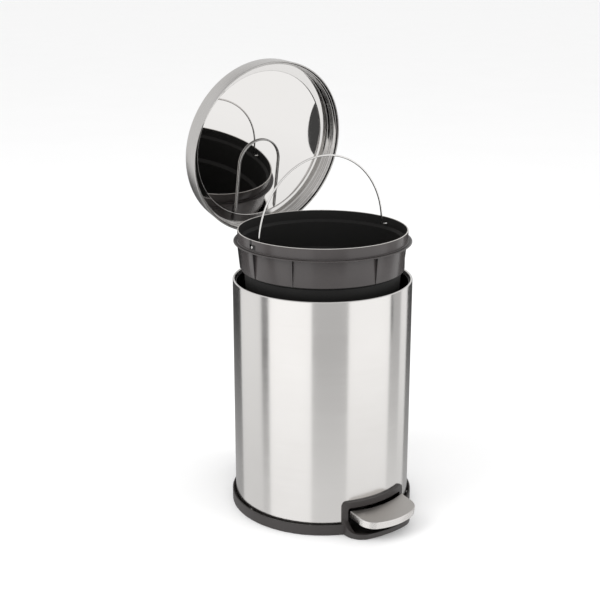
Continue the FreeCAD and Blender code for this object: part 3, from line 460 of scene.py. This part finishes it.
lid_centre = (0.0, hinge.y, hinge.z)
GRAIN = (5, 5, 1800)         # lines that run round the bin
FINISHES = {
    "body_steel": brushed("brushed body steel", 0.74, GRAIN, rough=(0.13, 0.18)),
    "lid_steel": brushed(
        "brushed lid steel", 0.62, GRAIN, lid_centre, lid_open, rough=(0.26, 0.34)
    ),
    "lid_trim": polished("polished lid ring", 0.66, rough=0.07),
    "mirror_steel": polished("mirror polished steel", 0.72, rough=0.012, smudge=0.02),
    "bright_wire": polished("bright drawn wire", 0.92, rough=0.13, smudge=0.08),
    # top is the painted shade's colour, side the painted highlight's
    "pedal_steel": pedal_with_painted_light("pedal steel with painted light", top=0.48, side=0.76),
    "lever_steel": plated("zinc plated lever", 0.52, warmth=-0.015),
    "hinge_steel": plated("zinc plated hinge", 0.55, warmth=-0.01),
    "plated_steel": plated("nickel plated pin", 0.62, rough=0.2),
    "rivet_steel": plated("plain rivet", 0.62, rough=0.34),
    "screw_steel": plated("plain screw", 0.48),
    "base_plastic": moulded("base plastic", 0.030, 0.16, 0.40, edge=0.9 * MM, scuff=0.35),
    "black_plastic": moulded("black plastic", 0.005, 0.05, 0.42, scuff=0.2),
    "bucket_plastic": bucket_with_painted_light(
        # inner is the near black colour of the painted shade inside and below the shoulder
        "bucket plastic", outer=0.048, inner=0.005,
        shoulder=bucket_high.z - SHOULDER_DROP, rough=0.17,
    ),
    "pad_rubber": moulded("pad rubber", 0.03, 0.0, 0.8, edge=0.3 * MM),
    "nylon": moulded("natural nylon", 0.62, 0.03, 0.4, edge=0.3 * MM, scuff=0.1),
}

# A node whose finish differs from that of the other nodes in its slot: the lid's wire loop is
# the same drawn wire, painted darker as painted shade.
OWN_FINISH = {
    "lid_wire_loop": polished("drawn wire with painted shade", 0.42, rough=0.13, smudge=0.08),
}


# ---- shapes ----
def finish_piece(piece, node, smooth_angle=28.0, slot=None):
    """Gives a plain mesh its finish, its edges and its place on the right body."""
    slot = slot or slot_of[node]
    mesh = piece.data
    mesh.materials.clear()
    mesh.materials.append(OWN_FINISH.get(node) or FINISHES[slot])
    mesh.polygons.foreach_set("material_index", [0] * len(mesh.polygons))
    mesh.polygons.foreach_set("use_smooth", [True] * len(mesh.polygons))
    mesh.set_sharp_from_angle(angle=math.radians(smooth_angle))
    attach(piece, body_of[node])
    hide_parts(node)
    return piece


def opened(mesh):
    work = bmesh.new()
    work.from_mesh(mesh)
    return work


def put_back(work, mesh):
    work.to_mesh(mesh)
    work.free()


def smoothed(node):
    """The frame's own piece with its facets joined up, so that its curves shade evenly."""
    mesh = frame["nodes"][node].data.copy()
    work = opened(mesh)
    bmesh.ops.remove_doubles(work, verts=work.verts, dist=2 * WELD)
    put_back(work, mesh)
    return finish_piece(add_object(node + "_piece", mesh), node)


def face_outwards(piece):
    work = opened(piece.data)
    bmesh.ops.remove_doubles(work, verts=work.verts, dist=WELD)
    bmesh.ops.recalc_face_normals(work, faces=work.faces)
    put_back(work, piece.data)
    return piece


def arc(centre_r, centre_z, radius, start, end, steps=8):
    """Points along a part of a circle in a profile, angles in degrees."""
    turns = [math.radians(start + (end - start) * i / steps) for i in range(steps + 1)]
    return [(centre_r + radius * math.cos(t), centre_z + radius * math.sin(t)) for t in turns]


def turned(name, node, profile, tilt=0.0):
    """A piece spun round the bin's axis from a closed profile, then tilted on the hinge."""
    mesh = bpy.data.meshes.new(name)
    mesh.from_pydata([(r, 0, z) for r, z in profile + profile[:1]], [], [])
    tree = Shape(
        name, Facets=ROUND, Centre=tuple(hinge), Tilt=(tilt, 0.0, 0.0),
        Material=FINISHES[slot_of[node]],
    )
    facets, centre = tree.asked["Facets"], tree.asked["Centre"]
    count = tree.node(
        "GeometryNodeAttributeDomainSize", None, {"Geometry": tree.asked["Geometry"]}
    )
    around = facets + 1
    grid = tree.node(
        "GeometryNodeMeshGrid", None,
        {"Vertices X": count["Point Count"], "Vertices Y": around},
    )
    index = tree.node("GeometryNodeInputIndex")[0]
    step = tree.math("MODULO", index, around)
    row = tree.math("FLOOR", (index + 0.5) / around)
    picked = tree.node(
        "GeometryNodeSampleIndex", {"data_type": "FLOAT_VECTOR"},
        {"Geometry": tree.asked["Geometry"], "Value": tree.position(), "Index": row},
    )
    radius, _, height = tree.split(picked[0])
    angle = step / facets * TURN
    spot = tree.join(
        radius * tree.math("COSINE", angle), radius * tree.math("SINE", angle), height
    )
    sealed = tree.node(
        "GeometryNodeMergeByDistance", None,
        {"Geometry": tree.moved(grid["Mesh"], spot), "Distance": WELD},
    )
    back = tree.vector("SCALE", a=centre, Scale=-1.0)
    centred = tree.node(
        "GeometryNodeTransform", None, {"Geometry": sealed[0], "Translation": back[0]}
    )
    tipped = tree.node(
        "GeometryNodeTransform", None,
        {"Geometry": centred[0], "Rotation": tree.asked["Tilt"], "Translation": centre},
    )
    tree.close(tipped[0])
    return face_outwards(tree.run(mesh, name))


def cut_windows(piece, windows):
    """Takes out the faces that lie in a window: half width, top and side (-1 front, 1 back)."""
    work = opened(piece.data)
    gone = []
    for face in work.faces:
        middle = face.calc_center_median()
        if any(
            abs(middle.x) < half and middle.z < top and middle.y * side > 0
            for half, top, side in windows
        ):
            gone.append(face)
    bmesh.ops.delete(work, geom=gone, context="FACES")
    put_back(work, piece.data)


def make_body():
    frame_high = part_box("base")[1]
    door_top = frame_high.z - LINTEL + DOOR_MARGIN
    door_half = abs(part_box("pedal_cap")[0].x) + DOOR_MARGIN
    bead_z = rim_z - BEAD
    inside = body_r - SHEET
    profile = [(body_r, z) for z in (shell_low.z, door_top, PASSAGE_TOP, bead_z)]
    profile += arc(body_r - BEAD, bead_z, BEAD, 0, 270, steps=18)[1:]
    profile += [(inside, z) for z in (bead_z - BEAD, PASSAGE_TOP, door_top, shell_low.z)]
    piece = turned("steel_body", "shell", profile)
    cut_windows(piece, [(door_half, door_top, -1), (PASSAGE_HALF, PASSAGE_TOP, 1)])
    finish_piece(piece, "shell")


def make_lid_pan():
    corner_r = lid_r - LID_TAPER - LID_CORNER
    top = lid_z + LID_DEPTH
    corner_z = top - LID_CORNER
    hem_z = lid_z + LID_HEM
    profile = [(lid_r, hem_z)]
    profile += arc(corner_r, corner_z, LID_CORNER, 0, 90)
    profile += [(0.0, top), (0.0, top - SHEET)]
    profile += arc(corner_r, corner_z, LID_CORNER - SHEET, 90, 0)
    profile += [(lid_r - SHEET - HEM_SLACK, lid_z + HEM_TOP)]
    profile += arc(lid_r - LID_HEM, hem_z, LID_HEM, 180, 350, steps=10)
    finish_piece(turned("lid_pan", "lid_shell", profile, lid_open), "lid_shell")


def make_lid_ring():
    """The pressed liner: beads on its upright wall, and a step that frames the mirror."""
    liner = lid_r - LINER_INSET
    ring_in = lid_r - RING_INSET
    step = MIRROR_DEPTH - STEP_RISE
    depth_line = [(liner + FOOT_OUT + FOOT_BEND, LINER_FOOT)]
    depth_line += [(liner + out, step + SHEET) for out in STEP_BACK]
    depth_line += arc(ring_in, MIRROR_DEPTH - NOSE_GAP, NOSE_BEND, 90, 270)
    depth_line += arc(liner - STEP_IN, step - STEP_BEND, STEP_BEND, 90, 0, steps=5)
    for number, depth in enumerate(reversed(RING_BEADS)):
        depth_line += arc(liner + number * BEAD_STEP, depth, RING_BEAD, 90, 270)
    depth_line += arc(liner + FOOT_OUT, LINER_FOOT, FOOT_BEND, 180, 350)
    profile = [(r, lid_z + depth) for r, depth in depth_line]
    finish_piece(turned("lid_ring", "lid_inner_ring", profile, lid_open), "lid_inner_ring")


# Radii and heights that the bucket's wall, ribs and keepers share.
flange_r = bucket_high.x
band_r = flange_r - BAND_INSET
neck_r = band_r - NECK_INSET
flange_z = bucket_high.z - BAND_H - FLANGE_T
shoulder_z = bucket_high.z - SHOULDER_DROP


def make_bucket():
    wall = BUCKET_WALL
    body = neck_r - BODY_INSET
    corner_r = body - BODY_TAPER - BOTTOM_CORNER
    corner_z = bucket_low.z + BOTTOM_CORNER
    band_z = flange_z + FLANGE_T
    profile = [(0.0, bucket_low.z)]
    profile += arc(corner_r, corner_z, BOTTOM_CORNER, -90, 0)
    profile += [
        (body, shoulder_z - SHOULDER_SLOPE),
        (neck_r - NECK_FILLET, shoulder_z - NECK_FILLET),
        (neck_r, shoulder_z + NECK_FILLET),
        (neck_r, flange_z - NECK_FILLET),
        (neck_r + NECK_FILLET, flange_z),
    ]
    profile += arc(flange_r - FLANGE_T / 2, flange_z + FLANGE_T / 2, FLANGE_T / 2, -90, 90)
    profile += [(band_r + BAND_FILLET, band_z), (band_r, band_z + BAND_FILLET)]
    profile += arc(band_r - wall / 2, bucket_high.z - wall / 2, wall / 2, 0, 180, steps=10)
    profile += [
        (band_r - wall, flange_z + 2 * FLANGE_T),
        (neck_r - wall, flange_z),
        (neck_r - wall, shoulder_z),
        (body - wall, shoulder_z - SHOULDER_SLOPE - NECK_FILLET),
    ]
    profile += arc(corner_r, corner_z, BOTTOM_CORNER - wall, 0, -90)
    profile += [(0.0, bucket_low.z + wall)]
    finish_piece(turned("bucket_wall", "bucket", profile), "bucket")


def make_ribs():
    """Tapered ribs under the bucket's flange, one shape set round the neck."""
    places = [side + turn for side in (0, 180) for turn in (-RIB_SPREAD, 0, RIB_SPREAD)]
    places += [90, 270]
    angles = [math.radians(turn) for turn in places]
    mesh = bpy.data.meshes.new("rib places")
    mesh.from_pydata([(math.cos(a), math.sin(a), 0) for a in angles], [], [])
    tree = Shape(
        "bucket ribs", Neck=float(neck_r), Reach=RIB_REACH, Thickness=RIB_T,
        Root=RIB_ROOT, Top=float(flange_z), Length=float(flange_z - shoulder_z),
        Material=FINISHES[slot_of["bucket"]],
    )
    reach, length = tree.asked["Reach"], tree.asked["Length"]
    block = tree.node(
        "GeometryNodeMeshCube", None,
        {
            "Size": tree.join(reach, tree.asked["Thickness"], length),
            "Vertices X": 2, "Vertices Y": 3, "Vertices Z": 12,
        },
    )
    here = tree.position()
    x, y, z = tree.split(here)
    up = z / length + 0.5
    swell = up * (1 - RIB_FOOT) + RIB_FOOT
    thin = 1.0 - (1.0 - up) * RIB_THINNING
    out = (x + reach * 0.5) * swell - tree.asked["Root"]
    tapered = tree.join(out, y * thin, z - length * 0.5)
    rib = tree.moved(block["Mesh"], tapered)
    ring = tree.vector("SCALE", a=here, Scale=tree.asked["Neck"])
    spot = tree.vector("ADD", a=ring[0], b=tree.join(z=tree.asked["Top"]))
    placed = tree.moved(tree.asked["Geometry"], spot[0])
    flat = tree.vector("MULTIPLY", a=here, b=(1, 1, 0))
    facing = tree.node(
        "FunctionNodeAlignRotationToVector", {"axis": "X", "pivot_axis": "Z"},
        {"Vector": flat[0]},
    )
    tree.close(tree.copies(placed, rib, facing[0]))
    finish_piece(tree.run(mesh, "bucket_ribs"), "bucket")


def block(xs, ys, zs):
    """The corners and faces of a plain block, from its two ends on each axis."""
    corners = [(x, y, z) for x in xs for y in ys for z in zs]
    faces = [(0, 1, 3, 2), (4, 6, 7, 5), (0, 4, 5, 1), (2, 3, 7, 6), (0, 2, 6, 4), (1, 5, 7, 3)]
    return corners, faces


def make_pivot_plates():
    """Black keepers round the bail's ends, each with a slot that runs up to the rim."""
    corners, faces = [], []
    for side in (-1, 1):
        xs = sorted((side * (band_r - KEEPER_ROOT), side * (band_r + KEEPER_PROUD)))
        for ys, zs in (
            ((-KEEPER_HALF, KEEPER_HALF), (pivot.z - KEEPER_LOW, pivot.z + KEEPER_LOW)),
            ((KEEPER_HALF - SLOT_W, KEEPER_HALF), (pivot.z, bucket_high.z - SLOT_DROP)),
        ):
            new_corners, new_faces = block(xs, ys, zs)
            faces += [tuple(i + len(corners) for i in face) for face in new_faces]
            corners += new_corners
    mesh = bpy.data.meshes.new("bail_keepers")
    mesh.from_pydata(corners, [], faces)
    piece = face_outwards(add_object("bail_keepers", mesh))
    finish_piece(piece, "bucket", slot="black_plastic")


def heads(name, node, places, radius, height, recess):
    """Low round heads standing on a wall: places are a point and the way the head faces."""
    mesh = bpy.data.meshes.new(name)
    mesh.from_pydata([tuple(spot) for spot, _ in places], [], [])
    facing = mesh.attributes.new("facing", "FLOAT_VECTOR", "POINT")
    for item, (_, way) in zip(facing.data, places):
        item.vector = way
    tree = Shape(
        name, Head_radius=radius, Head_height=height, Recess=recess,
        Material=FINISHES[slot_of[node]],
    )
    dome = tree.node(
        "GeometryNodeMeshUVSphere", None, {"Segments": 28, "Rings": 12, "Radius": 1.0}
    )
    x, y, z = tree.split(tree.position())
    up = tree.math("MAXIMUM", z, 0.0)
    from_axis = tree.math("MINIMUM", tree.math("ABSOLUTE", x), tree.math("ABSOLUTE", y))
    cross = tree.math("LESS_THAN", from_axis, CROSS_HALF)
    near_top = tree.math("GREATER_THAN", up, CROSS_FROM)
    tall = tree.math("POWER", up, HEAD_BLUNT) - cross * near_top * tree.asked["Recess"]
    across = tree.asked["Head radius"]
    low_dome = tree.join(x * across, y * across, tall * tree.asked["Head height"])
    head = tree.moved(dome["Mesh"], low_dome)
    way = tree.node(
        "GeometryNodeInputNamedAttribute", {"data_type": "FLOAT_VECTOR"}, {"Name": "facing"}
    )
    turn = tree.node(
        "FunctionNodeAlignRotationToVector", {"axis": "Z"}, {"Vector": way[0]}
    )
    tree.close(tree.copies(tree.asked["Geometry"], head, turn[0]))
    finish_piece(tree.run(mesh, name), node, HEAD_SMOOTH)


def wall_heads(name, node, rows, radius, height, recess=0.0):
    """Heads in two upright rows on the back wall, at the edges of the node's own box."""
    low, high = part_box(node)
    lowest, highest = low.z + radius, high.z - radius
    turn = math.asin((high.x - radius) / (body_r + HEAD_OUT))
    places = []
    for side in (-1, 1):
        out = Vector((side * math.sin(turn), math.cos(turn), 0))
        spot = out * (body_r + HEAD_SEAT)
        for row in range(rows):
            z = lowest + (highest - lowest) * row / (rows - 1)
            places.append((Vector((spot.x, spot.y, z)), out))
    heads(name, node, places, radius, height, recess)


make_body()
make_lid_pan()
make_lid_ring()
make_bucket()
make_ribs()
make_pivot_plates()
wall_heads(
    "cover_screw_heads", "cover_screws", 3, SCREW_HEAD_R, SCREW_HEAD_H, SCREW_RECESS
)
wall_heads("bracket_rivet_heads", "bracket_rivets", 2, RIVET_HEAD_R, RIVET_HEAD_H)

REMADE = {"shell", "lid_shell", "lid_inner_ring", "bucket", "cover_screws", "bracket_rivets"}
for node in sorted(frame["nodes"]):
    if node not in REMADE:
        smoothed(node)


# ---- studio: pale floor, soft light from a round tent, plain sky ----
CAMERA_TURN = math.radians(38.0)
CAMERA_OUT = 1.8317
CAMERA_UP = 0.8975
PITCH = math.radians(16.761)
YAW = math.radians(1.136)
LENS = 70.57                 # millimetres, as is the sensor
SENSOR = 36.0
FLOOR_HALF = 60.0
SKY_LIGHT = 1.03
SKY_IN_GLOSS = 0.5           # how bright the sky is in a reflection

# Tent panels, as seen from the camera's side: start and end in degrees to the right of
# the line from the bin to the camera, and how bright the panel is high up and low down.
PANELS = [
    (-180, -168, 0.90, 0.90),
    (-168, -121, 0.07, 0.40),
    (-121, -78, 0.92, 0.78),
    (-78, -67, 0.25, 0.68),
    (-67, -12, 1.22, 1.05),
    (-12, 31, 0.58, 0.79),
    (31, 90, 1.16, 0.95),
    (90, 112, 0.52, 0.76),
    (112, 131, 0.95, 0.77),
    (131, 165, 0.07, 0.40),
    (165, 180, 0.90, 0.90),
]
PANEL_FADE = (-0.5, 0.0)     # heights between which a panel's brightness changes
PANEL_STEP = 4               # degrees to a facet
TENT_RADIUS = 1.3
TENT_LOW, TENT_HIGH = -1.6, 1.9
TENT_FADE = (0.25, 0.6)      # above this the tent is evenly lit
TENT_TOP = 0.80

CARD_REACH = 1.1             # the dark card, beyond the mirror
CARD_X, CARD_Y = 0.130, -0.022
CARD_HALF, CARD_LONG = 0.032, 0.058
CARD_GLOW = 0.07
CARD_SIDES = 48

# Soft lamps: place to the right of the camera's line, away from it and up, and power.
LAMPS = {
    "left key": ((-2.2, -1.2, 2.4), 34.0),
    "right fill": ((2.4, -0.8, 1.8), 18.0),
}
LAMP_SIZE = 2.0
LAMP_AIM = Vector((0, 0, 0.25))


def from_camera_side(right, away, up):
    """A place given as seen from the camera: to the right, away from it, and up."""
    c, s = math.cos(CAMERA_TURN), math.sin(CAMERA_TURN)
    return Vector((right * c + away * s, -right * s + away * c, up))


def glow(name, high, low):
    """Light of one brightness high up and another low down, under the tent's even top."""
    material, make = new_finish(name)
    height = make.facing()[2]
    over = make.spread(height, 0.0, 1.0, *TENT_FADE)
    level = make.spread(height, low, high, *PANEL_FADE) * (1 - over) + over * TENT_TOP
    light = make.node("ShaderNodeEmission", None, {"Color": grey(1.0), "Strength": level})
    make.node("ShaderNodeOutputMaterial", None, {"Surface": light["Emission"]})
    return material


def staged(name, vertices, faces, material):
    mesh = bpy.data.meshes.new(name)
    mesh.from_pydata(vertices, [], faces)
    mesh.materials.append(material)
    thing = add_object(name, mesh)
    return thing


def only_reflected(thing):
    """Leaves a staged piece to be seen in shiny surfaces alone."""
    thing.visible_camera = False
    thing.visible_diffuse = False
    thing.visible_shadow = False


def make_floor():
    material, make = new_finish("pale floor")
    cloud = make.noise(make.place(), 3.0)
    make.surface(Base_Color=make.mix(cloud, grey(0.93), grey(0.95)), Roughness=0.9)
    half = FLOOR_HALF
    corners = [(-half, -half, 0), (half, -half, 0), (half, half, 0), (-half, half, 0)]
    floor = staged("floor", corners, [(0, 1, 2, 3)], material)
    floor.visible_glossy = False


def make_tent():
    towards_camera = -math.pi / 2 - CAMERA_TURN
    for number, (start, end, above, below) in enumerate(PANELS):
        steps = max(2, int((end - start) / PANEL_STEP))
        vertices = []
        for i in range(steps + 1):
            angle = towards_camera + math.radians(start + (end - start) * i / steps)
            x, y = TENT_RADIUS * math.cos(angle), TENT_RADIUS * math.sin(angle)
            vertices += [(x, y, TENT_LOW), (x, y, TENT_HIGH)]
        faces = [(2 * i, 2 * i + 2, 2 * i + 3, 2 * i + 1) for i in range(steps)]
        light = glow("tent %d" % number, above, below)
        only_reflected(staged("tent_panel_%d" % number, vertices, faces, light))


def beyond_mirror(across, along):
    """The place that the camera sees in the lid's mirror, at a point of the shut lid."""
    c, s = math.cos(lid_open), math.sin(lid_open)
    out, up = along - hinge.y, lid_z + MIRROR_DEPTH - hinge.z
    glass = Vector((across, hinge.y + out * c - up * s, hinge.z + out * s + up * c))
    normal = Vector((0, s, -c))
    eye = from_camera_side(0, -CAMERA_OUT, CAMERA_UP)
    eye -= 2 * (eye - glass).dot(normal) * normal
    return glass + (glass - eye).normalized() * CARD_REACH


def make_card():
    """A dark card beside the bin, which shows as a dark curve at the mirror's right edge."""
    turns = [TURN * i / CARD_SIDES for i in range(CARD_SIDES)]
    vertices = [
        tuple(beyond_mirror(CARD_X + CARD_HALF * math.cos(t), CARD_Y + CARD_LONG * math.sin(t)))
        for t in turns
    ]
    dark = glow("card", CARD_GLOW, CARD_GLOW)
    only_reflected(staged("dark_card", vertices, [tuple(range(CARD_SIDES))], dark))


def make_sky():
    world = bpy.data.worlds.new("studio sky")
    bpy.context.scene.world = world
    world.use_nodes = True
    make = Finish(world.node_tree)
    sky, seen = [
        make.node("ShaderNodeBackground", None, {"Color": grey(1.0), "Strength": strength})
        for strength in (SKY_LIGHT, SKY_IN_GLOSS)
    ]
    glossy = make.node("ShaderNodeLightPath")["Is Glossy Ray"]
    both = make.node("ShaderNodeMixShader", None, {0: glossy, 1: sky[0], 2: seen[0]})
    make.node("ShaderNodeOutputWorld", None, {"Surface": both[0]})


def aim(thing, direction):
    thing.rotation_euler = direction.to_track_quat("-Z", "Y").to_euler()


def add_lamp(name, place, power):
    data = bpy.data.lights.new(name, "AREA")
    data.shape = "DISK"
    data.size = LAMP_SIZE
    data.energy = power
    lamp = add_object(name, data)
    lamp.location = from_camera_side(*place)
    aim(lamp, LAMP_AIM - lamp.location)
    lamp.visible_glossy = False


def make_camera():
    data = bpy.data.cameras.new("camera")
    data.lens = LENS
    data.sensor_width = SENSOR
    camera = add_object("camera", data)
    camera.location = from_camera_side(0, -CAMERA_OUT, CAMERA_UP)
    level = math.cos(PITCH)
    ahead = (-math.sin(YAW) * level, math.cos(YAW) * level, -math.sin(PITCH))
    aim(camera, from_camera_side(*ahead))
    bpy.context.scene.camera = camera


make_floor()
make_tent()
make_card()
make_sky()
for name, (place, power) in LAMPS.items():
    add_lamp(name, place, power)
make_camera()
bpy.context.scene.view_settings.view_transform = "Standard"
